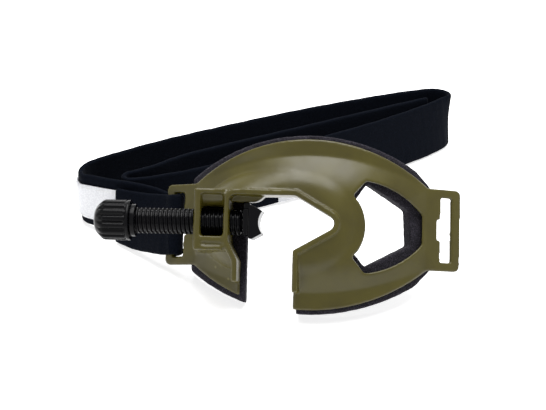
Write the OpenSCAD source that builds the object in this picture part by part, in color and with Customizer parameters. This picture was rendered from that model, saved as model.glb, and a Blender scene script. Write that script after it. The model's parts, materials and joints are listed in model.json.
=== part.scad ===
// Endotracheal tube holder: a curved face plate with a foam face pad, a screw-driven
// jaw that closes a tube against a V notch, and a webbing neck strap.
// The holder leans back on its strap, as it lies on a table. +Z is up, the face of
// the plate looks towards -Y, and the origin is under the middle of the whole holder.

/* [Face plate] */
// Radius of the plate's front, curved round the face
face_r = 84; // [76:1:96]
// Height of the plate from its top edge to its bottom edge
plate_h = 67.4; // [62:0.5:74]
// Radius of the plate's top and bottom edges, seen from the front
edge_r = 72.4; // [66:0.5:86]
// Distance from the middle of the plate to the root of each ear
ear_root_x = 48; // [46:0.5:52]
// Moulded wall thickness
wall = 2; // [1.6:0.1:2.4]
// Width of the flat rim round the dome
rim_w = 6.6; // [5:0.1:8]
// Radius of the dome's top and bottom edges, seen from the front
dome_edge_r = 105; // [95:1:120]
// Height of the dome over the rim at the middle
dome_rise = 6.2; // [5:0.1:7]
// Radius of the dome's front, curved round the face
dome_r = 67; // [60:1:74]
// Depth of the front of the screw housing and of the tube opening's lip
lip_front = 8.6; // [8:0.1:10]
// Depth of the raised arch that carries the lip
arch_front = 7.4; // [6.8:0.1:8]
// Radius of each side of the raised arch
arch_r = 34; // [31:0.5:38]

/* [Tube opening] */
// Clear height of the opening that the tube lies in
tube_h = 21; // [18:0.5:23]
// Included angle of the V notch
notch_angle = 60; // [50:1:75]
// Distance from the middle of the plate to the sharp corner of the V
notch_x = 13.5; // [11:0.5:15]
// Radius inside the V
notch_r = 3; // [2:0.5:4]
// Left side of the opening
opening_left = -30.5; // [-32:0.5:-29]
// Left side of the entry gap under the opening
entry_left = -26.8; // [-28:0.2:-25]
// Right side of the entry gap
entry_right = -5.3; // [-7:0.1:-4]

/* [Side window] */
// Left corner of the window
window_left = 17.6; // [17:0.2:20]
// Right side of the window
window_right = 44.6; // [43:0.2:45]
// Width of the web over the window, where the window is highest
window_web = 15.4; // [14.4:0.2:18]

/* [Strap ears] */
// Height of each ear above its slot, and below it
ear_rail = 3.5; // [2.5:0.1:5]
// Length of each ear from its root to its end
ear_len = 15; // [14:0.5:18]
// Clearance between the strap's edges and the ends of its slot
slot_clear = 0.5; // [0.2:0.1:1.5]
// Width of the strap slot
slot_w = 5.6; // [5:0.1:6.5]
// Width of the bar outside the slot
bar_w = 4.2; // [3.5:0.1:5]

/* [Foam pad] */
// Thickness of the foam
foam_t = 6; // [4:0.5:8]
// How far the foam stands out past the plate's top and bottom edges
foam_over = 1.7; // [0.8:0.1:2]
// Thickness of the adhesive film
film_t = 0.2; // [0.1:0.05:0.3]

/* [Clamp screw] */
// Outside radius of the thread
thread_r = 5.1; // [4.6:0.1:5.6]
// Depth of the thread
thread_depth = 0.8; // [0.5:0.1:1]
// Pitch of the thread
pitch = 1.7; // [1.5:0.1:2]
// Clearance between the thread and its holes
thread_gap = 0.2; // [0.15:0.05:0.3]
// Distance of the screw's axis in front of the plate's middle
screw_front = 1; // [0.5:0.1:1.5]
// Distance from the middle of the plate to the screw's collar
collar_x = 68.1; // [66:0.5:72]
// Thickness of the collar
collar_t = 2.1; // [1.5:0.1:3]
// Radius of the collar
collar_r = 6.4; // [6:0.1:7]
// Length of the knob
knob_len = 14.4; // [12:0.2:17]
// Radius of the knob over its ribs
knob_r = 8; // [7.4:0.1:9]
// Number of grip ribs on the knob
knob_ribs = 16; // [12:1:20]

/* [Cradle jaw] */
// Distance from the middle of the plate to the back of the jaw
jaw_back_x = 25.3; // [25:0.1:27]
// Thickness of the jaw's hub
hub_t = 2.3; // [2:0.1:3]
// Height of the jaw's head
jaw_h = 13.2; // [12:0.2:14]
// Depth of the jaw's head, front to back
jaw_depth = 11.4; // [10:0.2:12]
// Thickness of the jaw's head
jaw_t = 5.4; // [5:0.1:6.5]
// Clearance between the screw's end and the jaw
swivel_gap = 0.2; // [0.15:0.05:0.3]

/* [Neck strap] */
// Width of the strap
strap_w = 25; // [22:0.5:27]
// Thickness of the strap
strap_t = 2.3; // [1.8:0.1:2.6]
// Width of the hook tape sewn on the strap
tape_w = 16.6; // [14:0.2:18]
// Thickness of the hook tape
tape_t = 1; // [0.8:0.1:1.2]

/* [Resting pose] */
// How far the plate leans back from upright
lean = 39; // [36:1:42]
// How far the plate is turned clockwise in its own plane
roll = 1.65; // [0:0.05:3]
// How far the plate's right side is turned towards the front
yaw = 5; // [3:0.5:7]

/* [Hidden] */

OLIVE = [0.42, 0.41, 0.2];
FOAM = [0.22, 0.22, 0.24];
BLACK = [0.05, 0.05, 0.06];
NAVY = [0.04, 0.06, 0.09];
WHITE = [0.9, 0.9, 0.9];

FAR = 60; // reach of the cuts, past every face
EPS = 0.01;
CROSS = 0.02; // a corner's circle is this much too large, so that it crosses its sides
half_plate = plate_h / 2;
half_tube = tube_h / 2;
half_notch = notch_angle / 2;
lip_w = 2.2; // width of the lip round the tube opening
foam_front = wall + film_t + 0.1; // from the plate's front to the foam's front
foam_back = foam_front + foam_t;
foam_half = half_plate + foam_over;
foam_edge_r = 79;
foam_half_w = 48.5; // the foam's half width, seen from the front
slot_h = strap_w + 2 * slot_clear;
ear_h = slot_h + 2 * ear_rail;
film_inset = 0.8;
film_half_w = 42; // the film ends here, where the rim grows narrow

// ---- the plate's outlines, in its own x (right) and z (up) ----
module lens(half, r, limit_x) {
    intersection() {
        translate([0, half - r]) circle(r = r, $fn = 180);
        translate([0, r - half]) circle(r = r, $fn = 180);
        square([2 * limit_x, 3 * half], center = true);
    }
}

module plate_outline() lens(half_plate, edge_r, ear_root_x);
dome_side = 1.5; // from the dome's end to the ear's root
module dome_outline(inset = 0)
    lens(half_plate - rim_w - inset, dome_edge_r - inset, ear_root_x - dome_side - inset);

arch_x = -15; // middle of the raised arch
arch_drop = 12.4; // its two sides' centres lie this far past the tube's axis
housing_left = -44.4; // outer face of the screw housing
module arch_outline(inset = 0) {
    intersection() {
        translate([arch_x, -arch_drop]) circle(r = arch_r - inset, $fn = 180);
        translate([arch_x, arch_drop]) circle(r = arch_r - inset, $fn = 180);
        translate([opening_left - lip_w + inset, -FAR]) square([FAR, 2 * FAR]);
    }
}

// The tube opening with its entry gap below, made larger all round by grow.
entry_top = -15; // where the entry gap reaches its full width
entry_step = -8; // where the opening's left side starts to slope
side_slope = atan((entry_left - opening_left) / (entry_step - entry_top));
notch_centre = notch_x - notch_r / sin(half_notch);
corner_r = 2.4; // at the opening's top left corner
module tube_opening(grow = 0) {
    tip = notch_x + grow / sin(half_notch);
    round_r = notch_r + grow;
    touch_x = notch_centre + round_r * sin(half_notch);
    touch_z = round_r * cos(half_notch);
    top = half_tube + grow;
    left = opening_left - grow;
    low_left = entry_left - grow;
    low_right = entry_right + grow;
    shift = grow * tan(side_slope / 2);
    big = corner_r + grow;
    difference() {
        polygon([[left, top], [tip - top / tan(half_notch), top], [touch_x, touch_z],
            [touch_x, -touch_z], [low_right, -(tip - low_right) * tan(half_notch)],
            [low_right, -FAR], [low_left, -FAR], [low_left, entry_top - shift],
            [left, entry_step - shift]]);
        difference() {
            translate([left - 1, top - big]) square([big + 1, big + 1]);
            translate([left + big, top - big]) circle(r = big + CROSS, $fn = 60);
        }
    }
    translate([notch_centre, 0]) circle(r = round_r + CROSS, $fn = 60);
}

window_z = -0.6; // middle of the window's height
window_side_r = 33.6; // radius of its top and bottom edges
window_side_x = 18.4; // where those edges are highest
window_half = half_plate - window_web;
window_corner = 12; // half the height of its left side
window_cut = [8, 10]; // how far its left corners are cut off
window_bow_r = 18; // radius of its left side, which bows inwards
window_bow_x = 22.6;
module side_window() translate([0, window_z]) difference() {
    intersection() {
        for_side(1) circle(r = window_side_r, $fn = 180);
        for_side(-1) circle(r = window_side_r, $fn = 180);
        polygon([[window_left, window_corner], [window_left, window_corner] + window_cut,
            [window_right, window_corner + window_cut.y],
            [window_right, -window_corner - window_cut.y],
            [window_left + window_cut.x, -window_corner - window_cut.y],
            [window_left, -window_corner]]);
    }
    translate([window_bow_x - window_bow_r, 0]) circle(r = window_bow_r, $fn = 120);
}
// Places the circle of the window's top edge (1) or of its bottom edge (-1).
module for_side(side)
    translate([window_side_x, side * (window_half - window_side_r)]) children();

module foam_outline() lens(foam_half, foam_edge_r, foam_half_w);

foam_left = -24.6; // left side of the foam's opening, which stands inside the plate's
foam_clear = 1.2; // how far the foam's other sides stand back from the plate's
module foam_opening() intersection() {
    tube_opening(foam_clear);
    translate([foam_left, -FAR]) square([FAR, 2 * FAR]);
}

// The foam's own window, smaller than the plate's, so the foam shows round it.
module foam_window() {
    polygon([[16.5, 9.5], [21.1, 17], [36.6, 7.2], [37.4, -6.8], [20.9, -16],
        [16.5, -10.5]]);
}

// ---- ways to give those outlines their depth ----
// Pushes an outline along the plate's depth, from y0 to y1.
module push(y0 = -FAR, y1 = FAR)
    rotate([90, 0, 0]) translate([0, 0, -y1]) linear_extrude(y1 - y0) children();

// The space between two cylinders about the face's axis.
module sleeve(outer, inner) {
    translate([0, face_r, 0]) difference() {
        cylinder(r = outer, h = 3 * FAR, center = true, $fn = 240);
        cylinder(r = inner, h = 4 * FAR, center = true, $fn = 240);
    }
}

// The same for the dome, whose front bulges dome_rise over the rim.
module dome_sleeve(depth) {
    translate([0, dome_r - dome_rise, 0]) difference() {
        cylinder(r = dome_r, h = 3 * FAR, center = true, $fn = 240);
        cylinder(r = dome_r - depth, h = 4 * FAR, center = true, $fn = 240);
    }
}

function rim_y(x) = face_r - sqrt(face_r * face_r - x * x);

// Seats the plate and what it carries in its resting pose.
function turn_x(p, a) = [p[0], p[1] * cos(a) - p[2] * sin(a), p[1] * sin(a) + p[2] * cos(a)];
function turn_y(p, a) = [p[0] * cos(a) + p[2] * sin(a), p[1], p[2] * cos(a) - p[0] * sin(a)];
function turn_z(p, a) = [p[0] * cos(a) - p[1] * sin(a), p[0] * sin(a) + p[1] * cos(a), p[2]];
function turned(p) = turn_x(turn_y(turn_z(p, -yaw), roll), -lean);
// The foam's lower back edge, which the holder stands on.
foam_foot = [for (x = [-foam_half_w : 0.5 : foam_half_w])
    let (zf = foam_half - foam_edge_r + sqrt(foam_edge_r * foam_edge_r - x * x),
        yb = face_r - sqrt(pow(face_r - foam_back, 2) - x * x))
    if (x <= entry_left || x >= entry_right) turned([x, yb, -zf])[2]];
seat_x = 14.9;
seat_y = -48.5;
seat = [seat_x, seat_y, -min(foam_foot)];
function seated(p) = turned(p) + seat;
module seat_plate()
    translate(seat) rotate([-lean, 0, 0]) rotate([0, roll, 0]) rotate([0, 0, -yaw]) children();

// ---- face plate ----
module face_cylinder(r) translate([0, face_r, 0]) cylinder(r = r, h = 3 * FAR, center = true, $fn = 240);
module dome_cylinder(r)
    translate([0, dome_r - dome_rise, 0]) cylinder(r = r, h = 3 * FAR, center = true, $fn = 240);

module rim() intersection() {
    sleeve(face_r, face_r - wall);
    push() difference() {
        plate_outline();
        dome_outline(wall);
    }
}

module dome() {
    // its side wall, from the rim up to the dome
    difference() {
        intersection() {
            dome_cylinder(dome_r);
            push() difference() {
                dome_outline();
                dome_outline(wall);
            }
        }
        face_cylinder(face_r - wall);
    }
    intersection() {
        dome_sleeve(wall);
        push() difference() {
            dome_outline(wall / 2);
            arch_outline(wall);
        }
    }
}

module arch() {
    push(-arch_front, wall - arch_front) arch_outline();
    difference() {
        push(-arch_front, FAR / 2) difference() {
            arch_outline();
            arch_outline(wall);
        }
        dome_cylinder(dome_r - wall);
    }
}

module lip() difference() {
    intersection() {
        push(-lip_front, FAR / 2) tube_opening(lip_w);
        push() dome_outline();
    }
    face_cylinder(face_r - wall);
}

housing_right = opening_left - lip_w; // inner face of the lip's left wall
housing_wall = 2.8; // the screw's outer wall
housing_top = 12.7;
housing_bottom = -11.4;
pocket_top = 10.8;
hood_low = 6.2; // the pocket's height over the screw, behind its sloping ceiling
hood_back = -1.6; // where that ceiling ends
hood_front = [[-arch_front, pocket_top], [-6.4, 8.4], [-4.6, 6.8], [hood_back, hood_low]];
pocket_bottom = -5.9;
shelf_t = 2.4; // the shelf under the screw
recess_h = 1.4; // the recess under the shelf
recess_depth = 4;
screw_y = -screw_front;
bore_r = thread_r + thread_gap;
pocket_back = screw_y + bore_r + 0.5;

module block(x0, x1, y0, y1, z0, z1) translate([x0, y0, z0]) cube([x1 - x0, y1 - y0, z1 - z0]);

module housing() difference() {
    block(housing_left, housing_right + EPS, -lip_front, FAR / 2, housing_bottom, housing_top);
    face_cylinder(face_r - wall);
}

module housing_cuts() {
    inner = housing_left + housing_wall;
    shelf_bottom = pocket_bottom - shelf_t;
    block(inner, housing_right, -FAR, pocket_back, pocket_bottom, hood_low);
    translate([inner, 0, 0]) rotate([90, 0, 90]) linear_extrude(housing_right - inner)
        polygon(concat([[-FAR, hood_low - EPS], [-FAR, pocket_top]], hood_front,
            [[hood_back, hood_low - EPS]]));
    block(housing_left + wall, housing_right, 1, FAR, hood_low + wall, housing_top - wall);
    block(inner, housing_right, -FAR, recess_depth - lip_front, shelf_bottom - recess_h, shelf_bottom);
    block(housing_left + wall, housing_right, pocket_back + wall, FAR,
        housing_bottom + wall, housing_top - wall);
    along_screw(housing_left - 2, opening_left + 2) circle(r = bore_r, $fn = 90);
}

// An outline carried along the screw's axis, from x0 to x1.
module along_screw(x0, x1)
    translate([x0, screw_y, 0]) rotate([0, 90, 0]) linear_extrude(x1 - x0) children();

rail_end = -17; // right end of the rail that guides the jaw
rail_z = 8;
rail_half_depth = 3;
module rail() push(screw_y - rail_half_depth, screw_y + rail_half_depth)
    polygon([[opening_left - EPS, rail_z], [rail_end - 4, rail_z], [rail_end - 2, rail_z + 0.7],
        [rail_end, half_tube + EPS], [opening_left - EPS, half_tube + EPS]]);

ear_angle = asin(ear_root_x / face_r);
slot_end = ear_len - bar_w;
slot_start = slot_end - slot_w;
ear_overlap = 2.5;
ear_corner = 2.5;
ear_notch_half = 4.2;
notch_depth = 1.6;
module ear_shape() {
    half = ear_h / 2;
    difference() {
        union() {
            translate([-ear_overlap, -half]) square([ear_overlap + ear_len - ear_corner, ear_h]);
            translate([0, ear_corner - half]) square([ear_len, ear_h - 2 * ear_corner]);
            for (side = [-1, 1])
                translate([ear_len - ear_corner, side * (half - ear_corner)])
                    circle(r = ear_corner + CROSS, $fn = 48);
        }
        translate([slot_start, -slot_h / 2]) square([slot_w, slot_h]);
        translate([slot_start - notch_depth, -ear_notch_half])
            square([notch_depth + EPS, 2 * ear_notch_half]);
    }
}

module ear() translate([ear_root_x, rim_y(ear_root_x), 0]) rotate([0, 0, ear_angle])
    push(0, wall) ear_shape();

module face_plate() color(OLIVE) seat_plate() {
    difference() {
        union() {
            rim();
            dome();
            arch();
            lip();
            housing();
        }
        push() tube_opening();
        push() side_window();
        housing_cuts();
    }
    rail();
    ear();
    mirror([1, 0, 0]) ear();
}

// ---- foam pad and the film that holds it ----
module foam_pad() color(FOAM) seat_plate() intersection() {
    sleeve(face_r - foam_front, face_r - foam_back);
    push() difference() {
        foam_outline();
        foam_opening();
        foam_window();
    }
}

module foam_adhesive() color(WHITE) seat_plate() intersection() {
    sleeve(face_r - wall - 0.05, face_r - wall - 0.05 - film_t);
    push() difference() {
        lens(half_plate - film_inset, edge_r - film_inset, film_half_w);
        dome_outline();
        foam_opening();
        tube_opening(film_inset);
    }
}

// ---- clamp screw and knob ----
neck_r = 2.4;
neck_len = 1.9;
bead_r = 3.2;
bead_len = 1.6;
spigot_r = 3.5; // the screw's end that the knob is pressed on
spigot_len = 8.8;
press_gap = 0.02;
thread_end = -jaw_back_x - 0.6;
thread_sides = 24;
rows_per_turn = 6;
thread_rows = ceil((collar_x + thread_end + 0.2) / pitch * rows_per_turn);
thread_step = (collar_x + thread_end + 0.2) / thread_rows;

// Radius of the thread at a place along it and an angle round it: flat crest, sloping sides.
function thread_wave(turns) = let (f = turns - floor(turns))
    f < 0.25 ? 1 : f < 0.45 ? (0.45 - f) / 0.2 : f < 0.8 ? 0 : (f - 0.8) / 0.2;
function thread_radius(x, a) = thread_r - thread_depth + thread_depth * thread_wave(x / pitch - a / 360);

module thread() {
    ring = [for (i = [0 : thread_rows], k = [0 : thread_sides - 1])
        let (x = i * thread_step, a = k * 360 / thread_sides, r = thread_radius(x, a))
        [x, r * cos(a), r * sin(a)]];
    last = thread_rows * thread_sides;
    sides = [for (i = [0 : thread_rows - 1], k = [0 : thread_sides - 1])
        let (a = i * thread_sides + k, b = i * thread_sides + (k + 1) % thread_sides)
        for (f = [[a, b + thread_sides, b], [a, a + thread_sides, b + thread_sides]]) f];
    caps = [[for (k = [0 : thread_sides - 1]) k], [for (k = [thread_sides - 1 : -1 : 0]) last + k]];
    polyhedron(points = ring, faces = concat(sides, caps));
}

module clamp_screw() color(BLACK) seat_plate() {
    collar_end = -collar_x - collar_t;
    translate([-collar_x - 0.2, screw_y, 0]) thread();
    along_screw(collar_end, -collar_x) circle(r = collar_r, $fn = 60);
    along_screw(collar_end - spigot_len, collar_end + EPS) circle(r = spigot_r - press_gap, $fn = 60);
    along_screw(thread_end - 1, thread_end + neck_len) circle(r = neck_r, $fn = 48);
    along_screw(thread_end + neck_len, thread_end + neck_len + bead_len) circle(r = bead_r, $fn = 48);
}

knob_groove = 0.8; // depth between the ribs
rib_r = 0.95;
knob_round = 5;
knob_lip = 1;
module screw_knob() color(BLACK) seat_plate() {
    knob_start = -collar_x - collar_t - press_gap - knob_len;
    body_r = knob_r - knob_groove;
    translate([knob_start, screw_y, 0]) rotate([0, 90, 0]) difference() {
        union() {
            rotate_extrude($fn = 90) intersection() {
                union() {
                    translate([0, knob_round]) square([body_r, knob_len - knob_round]);
                    square([body_r - knob_round, knob_len]);
                    translate([body_r - knob_round, knob_round]) circle(r = knob_round, $fn = 60);
                }
                square([2 * knob_r, knob_len]);
            }
            for (i = [0 : knob_ribs - 1]) rotate([0, 0, i * 360 / knob_ribs])
                translate([knob_r - rib_r, 0, knob_round - 1])
                    cylinder(r = rib_r, h = knob_len - knob_round + 1 - knob_lip / 2, $fn = 24);
            translate([0, 0, knob_len - knob_lip]) cylinder(r = knob_r, h = knob_lip, $fn = 90);
        }
        translate([0, 0, knob_len - spigot_len - press_gap]) cylinder(r = spigot_r, h = FAR, $fn = 60);
    }
}

// ---- cradle jaw ----
jaw_front_x = -jaw_back_x + hub_t + jaw_t; // the tips that meet the tube
jaw_dip = 1.5; // how far the face curves in between its tips
tip_half = 4.4;
tongue_gap = 0.3;
hub_low = -5.2;
hub_half_depth = 4.2;
tongue_half_depth = 2.6;
module jaw_head() {
    half = jaw_h / 2;
    back = -jaw_back_x + hub_t;
    dip_r = (tip_half * tip_half + jaw_dip * jaw_dip) / (2 * jaw_dip);
    difference() {
        polygon([[back - 0.1, -half + 0.6], [back + 0.5, -half], [back + 1.6, -half],
            [jaw_front_x, -tip_half], [jaw_front_x, tip_half], [back + 1.6, half],
            [back + 0.5, half], [back - 0.1, half - 0.6]]);
        translate([jaw_front_x - jaw_dip + dip_r, 0]) circle(r = dip_r, $fn = 120);
    }
}

module cradle_jaw() color(BLACK) seat_plate() difference() {
    union() {
        push(screw_y - jaw_depth / 2, screw_y + jaw_depth / 2) jaw_head();
        block(-jaw_back_x, -jaw_back_x + hub_t + 0.2, screw_y - hub_half_depth,
            screw_y + hub_half_depth, hub_low, -hub_low);
        block(-jaw_back_x, -jaw_back_x + hub_t + 0.2, screw_y - tongue_half_depth,
            screw_y + tongue_half_depth, 0, rail_z - tongue_gap);
    }
    along_screw(-jaw_back_x - 1, thread_end + neck_len - swivel_gap + EPS)
        circle(r = neck_r + swivel_gap, $fn = 48);
    along_screw(thread_end + neck_len - swivel_gap, thread_end + neck_len + bead_len + swivel_gap)
        circle(r = bead_r + swivel_gap, $fn = 48);
}

// ---- neck strap ----
// The strap stands on its edge behind the plate, folded to and fro. Its middle line
// runs through these places: x, y, height, and how far it still leans with the ear
// (1 at the ear, 0 upright). The first two are worked out from the ear's slot.
function at_ear(s, n) = let (c = cos(ear_angle), d = sin(ear_angle))
    seated([-ear_root_x - s * c + n * d, rim_y(ear_root_x) + s * d + n * c, 0]);
wrap_gap = 0.35; // between the strap and the ear's bar
wrap_r = wall / 2 + wrap_gap + strap_t / 2; // of the strap's middle line round the bar
// A place as far as that from where the strap leaves the ear, leaning by u.
function at_exit(away, u) = let (p = at_ear(ear_len, wall / 2 + wrap_r) + away) [p[0], p[1], p[2], u];
function lean_at(p, u) = [p[0], p[1], p[2], u];
mid_h = strap_w / 2;
route = [
    lean_at(at_ear(slot_end, wall / 2 + wrap_r), 1),
    lean_at(at_ear(ear_len, wall / 2 + wrap_r + wrap_gap), 1),
    at_exit([-12.1, 8.1, 0.3], 0.66), at_exit([-23.7, 14.1, -0.3], 0.26),
    [-74.6, -3.6, mid_h + 0.8, 0.08],
    [-79.5, -0.4, mid_h + 0.05, 0], [-80.8, 4, mid_h, 0],
    [-77.5, 9.6, mid_h, 0], [-67.8, 15, mid_h, 0], [-47.8, 24.2, mid_h, 0],
    [-24.8, 34.8, mid_h, 0], [12.2, 50.3, mid_h, 0], [47.2, 63, mid_h, 0],
    [70.2, 69.9, mid_h, 0], [78.7, 70.3, mid_h, 0], [81.9, 67, mid_h, 0],
    [79.5, 62.5, mid_h, 0], [72.2, 56.5, mid_h, 0], [60.2, 48.6, mid_h, 0],
    [42.2, 37.8, mid_h, 0], [12.2, 22.5, mid_h, 0], [-17.8, 8.6, mid_h, 0],
    [-33.8, 1.4, mid_h, 0], [-48.8, -3.2, mid_h, 0], [-57, -4.6, mid_h, 0],
    [-60.5, -4.1, mid_h, 0], [-62, -1.8, mid_h, 0], [-60.5, 0.5, mid_h, 0],
    [-57.1, 1.6, mid_h, 0], [-47.8, 6, mid_h, 0],
    [-32.8, 15, mid_h, 0], [12.2, 35.2, mid_h, 0], [60.2, 57, mid_h, 0],
    [73.5, 62.8, mid_h, 0]];
SPAN = 5; // steps between two of those places
upright_from = 6; // the place from which the strap stands upright
tape_far_from = 19.6; // the free end's tape, as places along the route
tape_far_to = 20.4;

// A smooth curve through a list of places (Catmull-Rom), t of the way from place i.
function curve(list, i, t) = let (n = len(list) - 1, a = list[max(i - 1, 0)], b = list[i],
    c = list[min(i + 1, n)], d = list[min(i + 2, n)])
    0.5 * (2 * b + (c - a) * t + (2 * a - 5 * b + 4 * c - d) * t * t
        + (3 * b - a - 3 * c + d) * t * t * t);
function along(list) = [for (i = [0 : len(list) - 2], k = [0 : SPAN - 1]) curve(list, i, k / SPAN),
    list[len(list) - 1]];
function xyz(p) = [p[0], p[1], p[2]];
function unit(v) = v / norm(v);
up_ear = turned([0, 0, 1]);
function heading(line, i) = unit(xyz(line[min(i + 1, len(line) - 1)]) - xyz(line[max(i - 1, 0)]));
function width_way(line, i) = let (t = heading(line, i), u = max(0, min(1, line[i][3])),
    w = u * up_ear + (1 - u) * [0, 0, 1]) unit(w - (w * t) * t);
function thick_way(line, i) = cross(heading(line, i), width_way(line, i));

strap_line = along(route);

// A flat band along part of a line, from n0 to n1 through its thickness.
module band(line, first, last, width, n0, n1) {
    points = [for (i = [first : last])
        let (c = xyz(line[i]), n = thick_way(line, i), w = width_way(line, i) * width / 2)
        for (p = [c + n * n0 - w, c + n * n1 - w, c + n * n1 + w, c + n * n0 + w]) p];
    count = last - first;
    sides = [for (i = [0 : count - 1], k = [0 : 3])
        let (a = i * 4 + k, b = i * 4 + (k + 1) % 4)
        for (f = [[a, b, b + 4], [a, b + 4, a + 4]]) f];
    polyhedron(points = points, faces = concat(sides, [[3, 2, 1, 0]], [[for (k = [0 : 3]) count * 4 + k]]));
}

module neck_strap() color(NAVY) {
    first = upright_from * SPAN;
    last = len(strap_line) - 1;
    side = function (n) [for (i = [first : last])
        let (p = xyz(strap_line[i]) + thick_way(strap_line, i) * n) [p[0], p[1]]];
    near = side(-strap_t / 2);
    far = side(strap_t / 2);
    linear_extrude(strap_w) polygon(concat(near, [for (i = [len(far) - 1 : -1 : 0]) far[i]]));
}

// The strap's ear end: a fold back over the tape, round the ear's bar, then the run
// to the first turn.
fold_gap = strap_t + tape_t + 0.3; // from the run's middle line to the fold's
to_front = [-0.53, -0.85, 0];
function fold_over(p, gap, drop) = [for (i = [0 : 2]) p[i] + to_front[i] * gap - (i == 2 ? drop : 0)];
wrap_steps = 6;
tape_gap = 0.1; // under the tape at the twist beside the ear
ear_wrap = [for (k = [0 : wrap_steps - 1]) let (a = 180 * k / wrap_steps)
    lean_at(at_ear(slot_end - wrap_r * sin(a), wall / 2 - wrap_r * cos(a)), 1)];
ear_fold = along([lean_at(fold_over(curve(route, 2, 0.85), fold_gap + 0.3, 1.5), 0.3),
    lean_at(fold_over(route[2], fold_gap + 0.8, 1.3), 0.62),
    lean_at(at_ear(ear_len, wall / 2 - wrap_r), 1),
    lean_at(at_ear(slot_end, wall / 2 - wrap_r), 1)]);
ear_line = concat([for (i = [0 : len(ear_fold) - 2]) ear_fold[i]], ear_wrap,
    [for (i = [0 : upright_from * SPAN + 1]) strap_line[i]]);

module strap_ear_end() color(NAVY)
    band(ear_line, 0, len(ear_line) - 2, strap_w, -strap_t / 2, strap_t / 2);

module hook_tape_ear_end() color(WHITE)
    band(strap_line, 2 * SPAN + 1, 8 * SPAN, tape_w, -strap_t / 2 - tape_t, -strap_t / 2 - tape_gap);

module hook_tape_free_end() color(WHITE)
    band(strap_line, round(tape_far_from * SPAN), round(tape_far_to * SPAN), strap_w - 1,
        -strap_t / 2 - tape_t, -strap_t / 2);

face_plate();
foam_pad();
foam_adhesive();
clamp_screw();
screw_knob();
cradle_jaw();
neck_strap();
strap_ear_end();
hook_tape_ear_end();
hook_tape_free_end();
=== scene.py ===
"""Looks of an endotracheal tube holder: an olive moulded face plate on a foam pad, a black
thumb screw with its jaw, and a folded loop-fabric neck strap with white hook tape.

Lengths are in metres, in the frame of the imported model, unless a name ends in _MM or a class
says that its sizes are in millimetres.
"""

from __future__ import annotations

import json
import logging
import math
from dataclasses import dataclass, field
from enum import Enum
from itertools import product
from typing import Sequence

import bmesh
import bpy
import numpy as np
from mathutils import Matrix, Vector


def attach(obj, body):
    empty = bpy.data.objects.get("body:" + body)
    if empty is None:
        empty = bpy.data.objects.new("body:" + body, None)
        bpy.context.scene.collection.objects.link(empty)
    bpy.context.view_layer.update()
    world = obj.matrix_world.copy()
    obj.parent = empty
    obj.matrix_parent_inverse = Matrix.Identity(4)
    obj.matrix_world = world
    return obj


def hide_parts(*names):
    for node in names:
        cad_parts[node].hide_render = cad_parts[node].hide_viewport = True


LOG = logging.getLogger("tube_holder")
MM = 0.001

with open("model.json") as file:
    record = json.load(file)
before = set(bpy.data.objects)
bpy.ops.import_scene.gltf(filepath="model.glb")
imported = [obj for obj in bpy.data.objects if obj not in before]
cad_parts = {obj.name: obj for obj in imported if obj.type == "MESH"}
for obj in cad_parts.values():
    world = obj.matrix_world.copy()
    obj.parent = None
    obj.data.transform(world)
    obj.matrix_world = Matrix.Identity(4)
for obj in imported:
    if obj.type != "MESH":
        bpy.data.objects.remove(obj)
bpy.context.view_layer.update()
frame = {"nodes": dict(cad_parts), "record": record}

Array = np.ndarray
Corner = tuple[float, float, float]
Box = tuple[Corner, Corner]  # two opposite corners in the plate's frame, in millimetres

SCREW_Y_MM = -1.0  # depth of the screw's axis, and of the tube seat
SEAT_X_MM = 3.5  # how far right of the plate's middle the tube seat is
RIPPLE_WAVES = ([900.0, 400.0, 700.0], [-500.0, 1100.0, 600.0])  # of the foam's skin, per metre


class Slot(Enum):
    """The record's material slots."""

    PLATE = "plate_plastic"
    FOAM = "foam"
    FILM = "film"
    BLACK = "black_plastic"
    STRAP = "strap_fabric"
    TAPE = "hook_tape"


class Body(Enum):
    """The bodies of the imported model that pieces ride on."""

    HOLDER = "holder"
    JAW = "jaw"
    SCREW = "screw"


# ---------------------------------------------------------------- plate frame
@dataclass(frozen=True)
class PlateFrame:
    """The face plate's own frame: x right, y into the face, z up, in millimetres.

    Attributes:
        turn: Its three axes as the columns of a matrix, in the model's frame.
        origin: Its origin in the model's frame, in millimetres.
    """

    turn: Array
    origin: Array

    @staticmethod
    def from_record(record: dict) -> "PlateFrame":
        """Works the frame out from the jaw's joint and the tube seat's mount.

        Args:
            record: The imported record.

        Returns:
            The plate's frame.
        """
        slide = next(j for j in record["behaviour"]["joints"] if j["name"] == "jaw_travel")
        seat = next(m for m in record["mounts"] if m["name"] == "tube_seat")
        x_axis = np.array(slide["axis"])
        y_axis = -np.array(seat["axis"])
        turn = np.stack([x_axis, y_axis, np.cross(x_axis, y_axis)], axis=1)
        seat_at = np.array([SEAT_X_MM, SCREW_Y_MM, 0.0])
        return PlateFrame(turn, np.array(seat["pos_m"]) / MM - turn @ seat_at)

    def out(self, points: Array) -> Array:
        """Takes points from the plate's frame, in millimetres, to the model's, in metres."""
        return (np.asarray(points) @ self.turn.T + self.origin) * MM

    def into(self, points: Array) -> Array:
        """Takes points from the model's frame, in metres, to the plate's, in millimetres."""
        return (np.asarray(points) / MM - self.origin) @ self.turn


PLATE = PlateFrame.from_record(frame["record"])


# ---------------------------------------------------------------- mesh tools
def new_mesh(name: str, points: Array, faces: Sequence) -> bpy.types.Object:
    """Makes a mesh object from points in the model's frame.

    Args:
        name: The object's name.
        points: Its vertices, in metres.
        faces: Its faces, as lists of vertex numbers.

    Returns:
        The object, linked to the scene.
    """
    mesh = bpy.data.meshes.new(name)
    faces = faces.tolist() if isinstance(faces, np.ndarray) else faces
    mesh.from_pydata(np.asarray(points, float).tolist(), [], faces)
    mesh.update()
    obj = bpy.data.objects.new(name, mesh)
    bpy.context.scene.collection.objects.link(obj)
    return obj


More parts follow.
